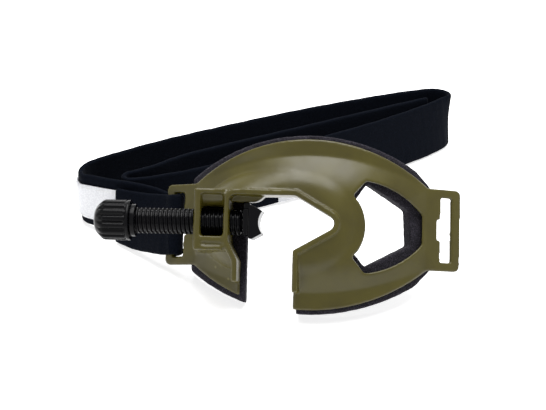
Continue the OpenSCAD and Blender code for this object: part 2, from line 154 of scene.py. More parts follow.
def grid_faces(rows: int, cols: int, wrap_rows: bool = False, wrap_cols: bool = False) -> Array:
    """The quads of a grid of rows x cols points, numbered row by row.

    Args:
        rows: How many rows.
        cols: How many points in each.
        wrap_rows: Whether the last row joins the first.
        wrap_cols: Whether each row closes on itself.

    Returns:
        The quads, (n, 4).
    """
    r = np.arange(rows if wrap_rows else rows - 1)[:, None]
    c = np.arange(cols if wrap_cols else cols - 1)[None, :]
    r2, c2 = (r + 1) % rows, (c + 1) % cols
    quads = [r * cols + c, r * cols + c2, r2 * cols + c2, r2 * cols + c]
    return np.stack([q + np.zeros_like(r + c) for q in quads], axis=-1).reshape(-1, 4)


def tube_mesh(name: str, rings: Array) -> bpy.types.Object:
    """A closed surface through rings of points, with a flat cap on each end ring.

    Args:
        name: The object's name.
        rings: Points as (ring, place round it, 3), in metres.

    Returns:
        The object, shaded smooth, with its normals outward.
    """
    count, sides, _ = rings.shape
    faces = grid_faces(count, sides, wrap_cols=True).tolist()
    faces.append(list(range(sides)))
    faces.append(list(range((count - 1) * sides, count * sides)))
    obj = new_mesh(name, rings.reshape(-1, 3), faces)
    tidy_normals(obj)
    return obj


def tidy_normals(obj: bpy.types.Object, smooth: bool = True) -> None:
    """Points an object's normals outward, and shades it smooth.

    Args:
        obj: The object, whose doubles are merged first.
        smooth: Whether to shade it smooth.
    """
    work = bmesh.new()
    work.from_mesh(obj.data)
    bmesh.ops.remove_doubles(work, verts=work.verts, dist=1e-7)
    bmesh.ops.recalc_face_normals(work, faces=work.faces)
    work.to_mesh(obj.data)
    work.free()
    obj.data.polygons.foreach_set("use_smooth", [smooth] * len(obj.data.polygons))
    obj.data.update()


def coordinates(obj: bpy.types.Object) -> Array:
    """An object's vertices as an array.

    Args:
        obj: The object.

    Returns:
        Its vertices, (n, 3), in metres.
    """
    flat = np.zeros(len(obj.data.vertices) * 3)
    obj.data.vertices.foreach_get("co", flat)
    return flat.reshape(-1, 3)


def set_coordinates(obj: bpy.types.Object, points: Array) -> None:
    """Moves an object's vertices."""
    obj.data.vertices.foreach_set("co", np.asarray(points, float).ravel())
    obj.data.update()


def smoothed(obj: bpy.types.Object, rounds: int, weight: Array | float = 1.0) -> None:
    """Evens out an object's vertices, each towards the middle of its neighbours.

    Args:
        obj: The object.
        rounds: How many times.
        weight: How strongly, from 0 to 1, for all vertices or for each.
    """
    edges = np.zeros(len(obj.data.edges) * 2, int)
    obj.data.edges.foreach_get("vertices", edges)
    a, b = edges.reshape(-1, 2).T
    points = coordinates(obj)
    total = len(points)
    count = np.bincount(a, minlength=total) + np.bincount(b, minlength=total)
    strength = 0.5 * np.broadcast_to(np.asarray(weight, float), (total,))[:, None]
    for _ in range(rounds):
        near = np.stack(
            [
                np.bincount(a, points[b, k], total) + np.bincount(b, points[a, k], total)
                for k in range(3)
            ],
            axis=1,
        )
        points = points + strength * (near / np.maximum(count, 1)[:, None] - points)
    set_coordinates(obj, points)


def applied(obj: bpy.types.Object) -> bpy.types.Object:
    """Applies an object's modifiers to its mesh.

    Args:
        obj: The object.

    Returns:
        The same object.
    """
    graph = bpy.context.evaluated_depsgraph_get()
    mesh = bpy.data.meshes.new_from_object(obj.evaluated_get(graph))
    obj.modifiers.clear()
    obj.data = mesh
    return obj


def remeshed(obj: bpy.types.Object, voxel_mm: float) -> bpy.types.Object:
    """Rebuilds an object's surface on an even grid, which joins solids that overlap.

    Args:
        obj: The object.
        voxel_mm: The grid's step.

    Returns:
        The same object.
    """
    remesh = obj.modifiers.new("remesh", "REMESH")
    remesh.mode = "VOXEL"
    remesh.voxel_size = voxel_mm * MM
    remesh.use_smooth_shade = True
    return applied(obj)


def combined(target: bpy.types.Object, other: bpy.types.Object, how: str) -> bpy.types.Object:
    """Cuts, joins or intersects target with other, which is then removed.

    Args:
        target: The object that is changed.
        other: The object to combine it with.
        how: DIFFERENCE, UNION or INTERSECT.

    Returns:
        The target.
    """
    boolean = target.modifiers.new("combine", "BOOLEAN")
    boolean.operation = how
    boolean.solver = "EXACT"
    boolean.object = other
    applied(target)
    bpy.data.objects.remove(other)
    return target


def joined(name: str, pieces: Sequence[bpy.types.Object]) -> bpy.types.Object:
    """Several meshes as one smooth-shaded object. They stay separate surfaces in it.

    Args:
        name: The new object's name.
        pieces: The objects, which are removed.

    Returns:
        The object.
    """
    work = bmesh.new()
    for piece in pieces:
        work.from_mesh(piece.data)
        bpy.data.objects.remove(piece)
    mesh = bpy.data.meshes.new(name)
    work.to_mesh(mesh)
    work.free()
    mesh.polygons.foreach_set("use_smooth", [True] * len(mesh.polygons))
    obj = bpy.data.objects.new(name, mesh)
    bpy.context.scene.collection.objects.link(obj)
    return obj


def cad_copy(node: str, name: str) -> bpy.types.Object:
    """A copy of a CAD node's mesh as a closed surface in a new object.

    Args:
        node: The CAD node's name.
        name: The new object's name.

    Returns:
        The object.
    """
    obj = bpy.data.objects.new(name, frame["nodes"][node].data.copy())
    obj.data.materials.clear()
    bpy.context.scene.collection.objects.link(obj)
    tidy_normals(obj)
    return obj


def plate_block(low: Sequence[float], high: Sequence[float]) -> bpy.types.Object:
    """A block between two corners in the plate's frame, to cut with.

    Args:
        low: Its lowest x, y and z, in millimetres.
        high: Its highest.

    Returns:
        The object.
    """
    corners = np.array(list(product(*zip(low, high))))
    faces = [[0, 1, 3, 2], [4, 6, 7, 5], [0, 4, 5, 1], [2, 3, 7, 6], [0, 2, 6, 4], [1, 5, 7, 3]]
    obj = new_mesh("cutter", PLATE.out(corners), faces)
    tidy_normals(obj, smooth=False)
    return obj


def prism(name: str, outline: Array, front: Array | float, back: Array | float) -> bpy.types.Object:
    """A solid with an outline in the plate's x and z, between two depths.

    Args:
        name: The object's name.
        outline: The outline's corners, as (n, 2).
        front: The depth of its front, for all corners or for each.
        back: The depth of its back, likewise.

    Returns:
        The object.
    """
    n = len(outline)
    levels = [np.broadcast_to(np.asarray(level, float), (n,)) for level in (front, back)]
    points = np.concatenate([np.stack([outline[:, 0], y, outline[:, 1]], axis=1) for y in levels])
    caps = [list(range(n)), list(range(2 * n - 1, n - 1, -1))]
    faces = caps + grid_faces(2, n, wrap_cols=True).tolist()
    obj = new_mesh(name, PLATE.out(points), faces)
    tidy_normals(obj, smooth=False)
    return obj


# ---------------------------------------------------------------- curves
def ease(t: Array) -> Array:
    """A step from 0 to 1 that starts and ends level."""
    t = np.clip(t, 0, 1)
    return t * t * (3 - 2 * t)


def arc(cx: float, cz: float, r: float, start: float, end: float, count: int) -> Array:
    """Points along an arc, from one angle to another in degrees, in the plate's x and z."""
    a = np.radians(np.linspace(start, end, count))
    return np.stack([cx + r * np.cos(a), cz + r * np.sin(a)], axis=1)


def lens_inside(points: Array, half: float, r: float, limit: float) -> Array:
    """How far inside a lens outline each point (x, z) lies. Outside is negative.

    Args:
        points: Places, (n, 2).
        half: Half the lens's height.
        r: Radius of its upper and lower edges.
        limit: Half its width.

    Returns:
        The distance of each.
    """
    x, z = points.T
    top = r - np.hypot(x, z - (half - r))
    bottom = r - np.hypot(x, z - (r - half))
    return np.minimum(np.minimum(top, bottom), limit - np.abs(x))


def outline_distance(points: Array, outline: Array) -> Array:
    """Distance from each point to an outline's nearest side.

    Args:
        points: Places, (n, 2).
        outline: The outline's corners, (m, 2).

    Returns:
        The distance of each.
    """
    start = outline
    step = np.roll(outline, -1, axis=0) - start
    best = np.full(len(points), np.inf)
    for a, d in zip(start, step):
        length = float(d @ d)
        if length < 1e-9:
            continue
        t = np.clip(((points - a) @ d) / length, 0, 1)
        best = np.minimum(best, np.hypot(*(points - a - t[:, None] * d).T))
    return best


def curve_through(places: Array, steps: int) -> Array:
    """A smooth curve through places (Catmull-Rom), the last of them included.

    Args:
        places: The places, (n, k).
        steps: Points from one place to the next.

    Returns:
        The points, (m, k).
    """
    p = np.concatenate([places[:1], places, places[-1:]])
    t = np.linspace(0, 1, steps, endpoint=False)[None, :, None]
    a, b, c, d = (p[i : len(p) - 3 + i][:, None, :] for i in range(4))
    square, cube = 2 * a - 5 * b + 4 * c - d, 3 * b - a - 3 * c + d
    bent = 0.5 * (2 * b + (c - a) * t + square * t**2 + cube * t**3)
    return np.concatenate([bent.reshape(-1, places.shape[1]), places[-1:]])


# ---------------------------------------------------------------- round and flat shapes
def along_screw(x: Array, r: Array, angle: Array) -> Array:
    """Points round the screw's axis, in the model's frame."""
    return PLATE.out(np.stack([x, SCREW_Y_MM + r * np.cos(angle), r * np.sin(angle)], axis=-1))


def lathe(name: str, profile: Sequence[Sequence[float]], sides: int = 96) -> bpy.types.Object:
    """A solid of revolution about the screw's axis, from (x, radius) pairs.

    Args:
        name: The object's name.
        profile: The pairs, in millimetres.
        sides: Points round it.

    Returns:
        The object.
    """
    line = np.array(profile)
    angle = np.linspace(0, 2 * math.pi, sides, endpoint=False)[None, :]
    x = np.broadcast_to(line[:, :1], (len(line), sides))
    r = np.broadcast_to(line[:, 1:], (len(line), sides))
    return tube_mesh(name, along_screw(x, r, np.broadcast_to(angle, x.shape)))


def rounded_disc(x0: float, x1: float, r: float, soft: float = 0.4) -> list[tuple[float, float]]:
    """The profile of a disc whose edges are rounded.

    Args:
        x0: Its left face.
        x1: Its right face.
        r: Its radius.
        soft: Its edges' radius.

    Returns:
        Pairs of x and radius.
    """
    turn = np.linspace(0, math.pi / 2, 6)
    left = [(x0 + soft * (1 - math.cos(a)), r - soft * (1 - math.sin(a))) for a in turn]
    right = [(x1 - soft * (1 - math.sin(a)), r - soft * (1 - math.cos(a))) for a in turn]
    return [(x0, 0.05), *left, *right, (x1, 0.05)]


@dataclass(frozen=True)
class Ribbon:
    """A flat band's middle line with its directions, ready to sweep sections along.

    Attributes:
        line: The middle line, (n, 3) in millimetres.
        wide: The direction across its width at each place.
        thick: The direction through its thickness at each place.
    """

    line: Array
    wide: Array
    thick: Array

    @staticmethod
    def along(route: Array) -> "Ribbon":
        """Works out the directions from a route of x, y, z and lean.

        Args:
            route: The route, (n, 4), in millimetres.

        Returns:
            The ribbon.
        """
        line = route[:, :3]
        heading = np.gradient(line, axis=0)
        heading /= np.linalg.norm(heading, axis=1, keepdims=True)
        lean = np.clip(route[:, 3:], 0, 1)
        wide = lean * PLATE.turn[:, 2] + (1 - lean) * np.array([0.0, 0.0, 1.0])
        wide = wide - (wide * heading).sum(1, keepdims=True) * heading
        wide /= np.linalg.norm(wide, axis=1, keepdims=True)
        return Ribbon(line, wide, np.cross(heading, wide))

    def part(self, start: int, end: int) -> "Ribbon":
        """The ribbon between two places along it."""
        return Ribbon(self.line[start:end], self.wide[start:end], self.thick[start:end])

    def run(self) -> Array:
        """Distance along the middle line to each place, in millimetres."""
        return np.concatenate([[0], np.cumsum(np.linalg.norm(np.diff(self.line, axis=0), axis=1))])

    def length(self) -> float:
        """The middle line's length, in millimetres."""
        return float(self.run()[-1])

    def at(self, across: Array, through: Array) -> Array:
        """Points beside the middle line, in the model's frame.

        Args:
            across: Distance across the width, (n, k).
            through: Distance through the thickness, (n, k).

        Returns:
            The points, (n, k, 3), in metres.
        """
        return (
            self.line[:, None]
            + self.wide[:, None] * across[..., None]
            + self.thick[:, None] * through[..., None]
        ) * MM


def band_section(width: float, thickness: float, edge: int = 7, face: int = 14) -> Array:
    """The outline of a flat band with rounded edges, as (across, through) pairs.

    Args:
        width: Its width.
        thickness: Its thickness.
        edge: Points round each edge.
        face: Points across each face.

    Returns:
        The pairs, (n, 2).
    """
    r = thickness / 2
    flat = width / 2 - r
    turn = np.linspace(-math.pi / 2, math.pi / 2, edge)
    right = np.stack([flat + r * np.cos(turn), r * np.sin(turn)], axis=1)
    across = np.linspace(flat, -flat, face)[1:-1]
    top = np.stack([across, np.full_like(across, r)], axis=1)
    return np.concatenate([right, top, right * [-1, -1], top * [-1, -1]])


def swept_band(name: str, ribbon: Ribbon, width: float, thickness: float, offset: float = 0.0,
               wobble: float = 0.0) -> bpy.types.Object:
    """A flat band with rounded edges along a ribbon.

    Its edges wander by a sum of three sine waves of the distance along it.

    Args:
        name: The object's name.
        ribbon: What it follows.
        width: Its width, in millimetres.
        thickness: Its thickness, in millimetres.
        offset: How far its middle stands off the ribbon's, through the thickness.
        wobble: How far its edges wander, in millimetres.

    Returns:
        The object.
    """
    section = band_section(width, thickness)
    count = len(ribbon.line)
    place = ribbon.run()[:, None]
    edge = np.sin(place * 0.45) * 0.5 + np.sin(place * 1.13 + 1.0) * 0.3 + np.sin(place * 2.7) * 0.2
    across = section[None, :, 0] * (1 - wobble / width * (1 + edge))
    thinner = 1 - wobble * 0.15 * (1 + np.sin(place * 1.7))
    through = np.broadcast_to(section[None, :, 1], across.shape) * thinner
    last = (np.minimum(np.arange(count), np.arange(count)[::-1]) < 1)[:, None]
    across = across * np.where(last, 1 - 0.5 / width, 1.0)
    return tube_mesh(name, ribbon.at(across, offset + through * np.where(last, 0.72, 1.0)))


def stitches(name: str, ribbon: Ribbon, across: Sequence[float], off: float, pitch: float = 2.4,
             radius: float = 0.16) -> bpy.types.Object:
    """Rows of stitches along a ribbon, each a short bowed thread.

    Args:
        name: The object's name.
        ribbon: What they follow.
        across: Where each row lies across the width, in millimetres.
        off: How far they stand off the ribbon's middle, in millimetres.
        pitch: Distance from one stitch to the next.
        radius: The thread's radius.

    Returns:
        The object, all stitches in one mesh.
    """
    run = ribbon.run()
    starts = np.arange(0.8, run[-1] - pitch, pitch)
    steps = np.linspace(0, 1, 7)
    sides = np.linspace(0, 2 * math.pi, 8, endpoint=False)
    place = (starts[:, None] + steps * pitch * 0.78).ravel()
    line, wide, thick = (
        np.stack([np.interp(place, run, values[:, k]) for k in range(3)], axis=1)
        for values in (ribbon.line, ribbon.wide, ribbon.thick)
    )
    bow = np.tile(np.sin(steps * math.pi) ** 0.6, len(starts))
    side = 1.0 if off > 0 else -1.0
    rings = []
    for row in across:
        middle = line + wide * row + thick * (off + side * (radius * 1.2 * bow[:, None] - radius * 0.7))
        girth = radius * (0.55 + 0.45 * bow)[:, None, None]
        ring = middle[:, None] + girth * (
            np.cos(sides)[None, :, None] * wide[:, None] + np.sin(sides)[None, :, None] * thick[:, None]
        )
        rings.append(ring.reshape(len(starts), len(steps), len(sides), 3))
    rings = np.concatenate(rings) * MM
    per = len(steps) * len(sides)
    quads = grid_faces(len(steps), len(sides), wrap_cols=True)
    caps = np.stack([np.arange(len(sides)), np.arange(per - len(sides), per)])
    first = np.arange(len(rings.reshape(-1, per, 3)))[:, None, None] * per
    faces = [*(first + quads).reshape(-1, 4).tolist(), *(first + caps).reshape(-1, len(sides)).tolist()]
    obj = new_mesh(name, rings.reshape(-1, 3), faces)
    tidy_normals(obj)
    return obj


# ---------------------------------------------------------------- finishes
def linear(code: str) -> tuple[float, float, float, float]:
    """An sRGB hex colour as linear red, green, blue and alpha.

    Args:
        code: The code, such as "#d9d8d2".

    Returns:
        The four values.
    """
    values = [int(code[i : i + 2], 16) / 255 for i in (1, 3, 5)]
    lin = [v / 12.92 if v <= 0.04045 else ((v + 0.055) / 1.055) ** 2.4 for v in values]
    return (*lin, 1.0)


@dataclass(frozen=True)
class Finish:
    """What a material looks like.

    Attributes:
        name: The real material and the process that made it.
        base: Its main colour, sRGB hex.
        dark: Its darker colour: random darker grain, and painted shade in a fabric's hollows.
        light: Its lighter colour: painted highlight on outward edges and on a fabric's loop tips, and lighter
            grain.
        rough: Its roughness.
        specular: How strongly it reflects.
        sheen: Strength of the soft rim of a fabric.
    """

    name: str
    base: str
    dark: str
    light: str
    rough: float
    specular: float = 0.5
    sheen: float = 0.0


class Shader:
    """A material's node tree, with short ways to add to it."""

    def __init__(self, finish: Finish) -> None:
        """Starts a material with its finish's base, roughness and reflection.

        Args:
            finish: The finish.
        """
        self.material = bpy.data.materials.new(finish.name)
        self.material.use_nodes = True
        self.tree = self.material.node_tree
        self.surface = self.tree.nodes["Principled BSDF"]
        self.finish = finish
        self.set(self.surface, Roughness=finish.rough)
        self.set(self.surface, **{"Base Color": linear(finish.base), "Specular IOR Level": finish.specular})
        self.set(self.surface, **{"Sheen Weight": finish.sheen, "Sheen Roughness": 0.5})
        self.place = self.add("ShaderNodeTexCoord").outputs["Object"]

    @staticmethod
    def set(node: bpy.types.Node, **values: object) -> None:
        """Sets a node's input sockets by name."""
        for name, value in values.items():
            node.inputs[name].default_value = value

    def add(self, kind: str, links: dict | None = None, values: dict | None = None,
            **settings: object) -> bpy.types.Node:
        """Adds a node.

        Args:
            kind: The node's type.
            links: Input sockets, by name or number, and the outputs that feed them.
            values: Input sockets and their constant values.
            settings: The node's own settings.

        Returns:
            The node.
        """
        node = self.tree.nodes.new(kind)
        for name, value in settings.items():
            setattr(node, name, value)
        for name, value in (values or {}).items():
            node.inputs[name].default_value = value
        for name, source in (links or {}).items():
            self.tree.links.new(source, node.inputs[name])
        return node

    def noise(self, size_mm: float, detail: float = 2.0, rough: float = 0.5) -> bpy.types.NodeSocket:
        """Noise whose lumps are about size_mm across.

        Args:
            size_mm: The lumps' size.
            detail: How many finer layers it has.
            rough: How strong those are.

        Returns:
            Its output.
        """
        node = self.add("ShaderNodeTexNoise", {"Vector": self.place},
                        {"Scale": 1000.0 / size_mm, "Detail": detail, "Roughness": rough})
        return node.outputs["Fac"]

    def cells(self, size_mm: float) -> bpy.types.NodeSocket:
        """Distance to the nearest of a scatter of points about size_mm apart."""
        node = self.add("ShaderNodeTexVoronoi", {"Vector": self.place}, {"Scale": 1000.0 / size_mm})
        return node.outputs["Distance"]

    def between(self, value: bpy.types.NodeSocket, low: float, high: float, out_low: float = 0.0,
                out_high: float = 1.0) -> bpy.types.NodeSocket:
        """A value taken from one range to another, and kept inside it.

        Args:
            value: The value.
            low: Where the first range starts.
            high: Where it ends.
            out_low: Where the second starts.
            out_high: Where it ends.

        Returns:
            The new value.
        """
        node = self.add("ShaderNodeMapRange", {"Value": value}, {
            "From Min": low, "From Max": high, "To Min": out_low, "To Max": out_high})
        return node.outputs["Result"]

    def mixed(self, share: bpy.types.NodeSocket, a: object, b: object) -> bpy.types.NodeSocket:
        """A mix of two colours, each a hex code or an output.

        Args:
            share: How much of the second.
            a: The first.
            b: The second.

        Returns:
            The mix.
        """
        node = self.add("ShaderNodeMix", {0: share}, data_type="RGBA")
        for place, colour in ((6, a), (7, b)):
            if isinstance(colour, str):
                node.inputs[place].default_value = linear(colour)
            else:
                self.tree.links.new(colour, node.inputs[place])
        return node.outputs[2]

    def product(self, a: bpy.types.NodeSocket, b: bpy.types.NodeSocket | float,
                how: str = "MULTIPLY") -> bpy.types.NodeSocket:
        """Two values combined, by default multiplied.

        Args:
            a: The first.
            b: The second, or a constant.
            how: The operation.

        Returns:
            The result.
        """
        node = self.add("ShaderNodeMath", {0: a}, operation=how)
        if isinstance(b, (int, float)):
            node.inputs[1].default_value = b
        else:
            self.tree.links.new(b, node.inputs[1])
        return node.outputs[0]

    def bumped(self, height: bpy.types.NodeSocket, depth_mm: float,
               under: bpy.types.NodeSocket | None = None) -> bpy.types.NodeSocket:
        """A bump of that depth, on top of another if given.

        Args:
            height: The height.
            depth_mm: How deep it is.
            under: The bump below it.

        Returns:
            The normal.
        """
        links = {"Height": height}
        if under is not None:
            links["Normal"] = under
        node = self.add("ShaderNodeBump", links, {"Strength": 1.0, "Distance": depth_mm * MM})
        return node.outputs["Normal"]

    def feed(self, **links: bpy.types.NodeSocket) -> None:
        """Links outputs to the surface's inputs. An underscore stands for a space."""
        for name, source in links.items():
            self.tree.links.new(source, self.surface.inputs[name.replace("_", " ")])

    def edge_highlight_mask(self, low: float = 0.53, high: float = 0.6) -> bpy.types.NodeSocket:
        """How much a place is an outward edge, from 0 to 1, where a highlight is painted."""
        return self.between(self.add("ShaderNodeNewGeometry").outputs["Pointiness"], low, high)


class SatinMoulding(Finish):
    """Injection-moulded nylon with a fine spark-eroded texture, its outward edges painted lighter as a patchy
    highlight.
    """

    def material(self) -> bpy.types.Material:
        """Makes the material.

        Returns:
            The material.
        """
        s = Shader(self)
        tone = s.mixed(s.between(s.noise(14, 3), 0.35, 0.7), self.base, self.dark)
        # Painted highlight: outward edges, patchy by noise, are painted towards the lighter colour.
        edge_highlight = s.product(s.edge_highlight_mask(), s.between(s.noise(3, 3), 0.3, 0.6, 0.35, 1.0))
        colour = s.mixed(s.product(edge_highlight, 0.7), tone, self.light)
        grain = s.noise(0.35, 2)
        rough = s.between(s.noise(6, 4), 0.3, 0.7, self.rough - 0.05, self.rough + 0.07)
        s.feed(Base_Color=colour, Roughness=rough, Normal=s.bumped(grain, 0.006))
        return s.material


class PolishedMoulding(Finish):
    """Polished black nylon with faint flow marks, its outward edges painted lighter as a highlight."""

    def material(self) -> bpy.types.Material:
        """Makes the material.

        Returns:
            The material.
        """
        s = Shader(self)
        # Painted highlight: outward edges are painted towards the lighter colour.
        tone = s.mixed(s.edge_highlight_mask(0.54, 0.62), self.base, self.light)
        rough = s.between(s.noise(2.5, 4), 0.3, 0.75, self.rough - 0.06, self.rough + 0.1)
        s.feed(Base_Color=tone, Roughness=rough, Normal=s.bumped(s.noise(0.5, 2), 0.004))
        return s.material


class CutFoam(Finish):
    """Die-cut closed-cell foam: fine cells, opened where it was cut."""

    def material(self) -> bpy.types.Material:
        """Makes the material.

        Returns:
            The material.
        """
        s = Shader(self)
        cells = s.cells(0.45)
        tone = s.mixed(s.between(s.noise(1.2, 4), 0.3, 0.7), self.base, self.dark)
        colour = s.mixed(s.between(cells, 0.35, 0.8, 0.0, 0.6), tone, self.light)
        s.feed(Base_Color=colour, Normal=s.bumped(s.noise(0.25, 3), 0.05, s.bumped(cells, 0.12)))
        return s.material


class Film(Finish):
    """Thin adhesive film, slightly orange-peeled."""

    def material(self) -> bpy.types.Material:
        """Makes the material.

        Returns:
            The material.
        """
        s = Shader(self)
        tone = s.mixed(s.noise(4, 3), self.base, self.dark)
        s.feed(Base_Color=tone, Normal=s.bumped(s.noise(1.0, 2), 0.01))
        return s.material


class LoopNap(Finish):
    """Brushed nylon loops: a soft nap with painted shade in its hollows and a painted highlight on its loop
    tips.
    """

    def material(self) -> bpy.types.Material:
        """Makes the material.

        Returns:
            The material.
        """
        s = Shader(self)
        nap = s.noise(0.55, 5, 0.7)
        lumps = s.noise(2.6, 3)
        # Painted shade and highlight: low places of the nap are painted darker, high loop tips lighter.
        tone = s.mixed(s.between(nap, 0.42, 0.72), self.dark, self.base)
        tips = s.product(s.between(nap, 0.6, 0.8), s.between(lumps, 0.4, 0.65))
        colour = s.mixed(s.product(tips, 0.6), tone, self.light)
        s.feed(Base_Color=colour, Normal=s.bumped(nap, 0.22, s.bumped(lumps, 0.18)))
        return s.material


class HookNap(Finish):
    """Woven nylon hook tape: rows of small stiff hooks on a plain ground."""

    def material(self) -> bpy.types.Material:
        """Makes the material.

        Returns:
            The material.
        """
        s = Shader(self)
        hooks = s.cells(0.75)
        tone = s.mixed(s.between(hooks, 0.25, 0.7), self.base, self.dark)
        s.feed(Base_Color=tone, Normal=s.bumped(hooks, 0.05, s.bumped(s.noise(0.4, 3), 0.02)))
        return s.material


class TwistedThread(Finish):
    """Twisted sewing thread."""

    def material(self) -> bpy.types.Material:
        """Makes the material.

        Returns:
            The material.
        """
        s = Shader(self)
        twist = s.noise(0.2, 2)
        s.feed(Base_Color=s.mixed(twist, self.dark, self.light), Normal=s.bumped(twist, 0.03))
        return s.material


# Gives the eye a satin gloss, with outward edges painted a shade lighter as a highlight.
OLIVE_NYLON = SatinMoulding(
    "olive_nylon_injection_moulded", "#494310", "#3f390c", "#716a3c", 0.33, 0.34)
# Gives the eye small sharp glints on a near black, with outward edges painted lighter as a highlight.
BLACK_NYLON = PolishedMoulding(
    "black_nylon_injection_moulded_polished", "#040406", "#020203", "#0b0b0f", 0.2, 0.1)
# Gives the eye a dull, pitted dark grey.
GREY_FOAM = CutFoam(
    "closed_cell_foam_die_cut", "#222026", "#141316", "#47444e", 0.85, 0.12, 0.04)
# Gives the eye a pale line behind the plate.
ADHESIVE_FILM = Film(
    "acrylic_adhesive_film", "#d9d8d2", "#c9c8c0", "#e8e7e2", 0.3, 0.5)
# Gives the eye a soft blue-black with no gloss, with painted shade in the nap's hollows and a painted
# highlight on its loop tips.
LOOP_FABRIC = LoopNap(
    "brushed_nylon_loop_webbing", "#0a0f19", "#050810", "#172233", 0.95, 0.05, 0.02)
# Gives the eye a matt white with fine grain.
HOOK_TAPE = HookNap(
    "white_nylon_hook_tape", "#e9eaed", "#dddee2", "#f4f4f6", 0.6, 0.3, 0.05)
# Gives the eye thin raised dashes on the tapes.
WHITE_THREAD = TwistedThread(
    "bonded_nylon_sewing_thread_white", "#e4e4e4", "#c8c8c8", "#f4f4f4", 0.6, 0.3, 0.1)


# ---------------------------------------------------------------- sub-assemblies
def placed(obj: bpy.types.Object, material: bpy.types.Material, slot: Slot, body: Body,
           *stands_for: str) -> bpy.types.Object:
    """Gives a piece its material and the body it rides on, and hides the nodes it stands for.

    Args:
        obj: The piece.
        material: Its material.
        slot: Its slot; not used.
        body: Its body.
        stands_for: The CAD nodes it stands for.

    Returns:
        The piece.
    """
    obj.data.materials.clear()
    obj.data.materials.append(material)
    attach(obj, body.value)
    if stands_for:
        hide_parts(*stands_for)
    return obj


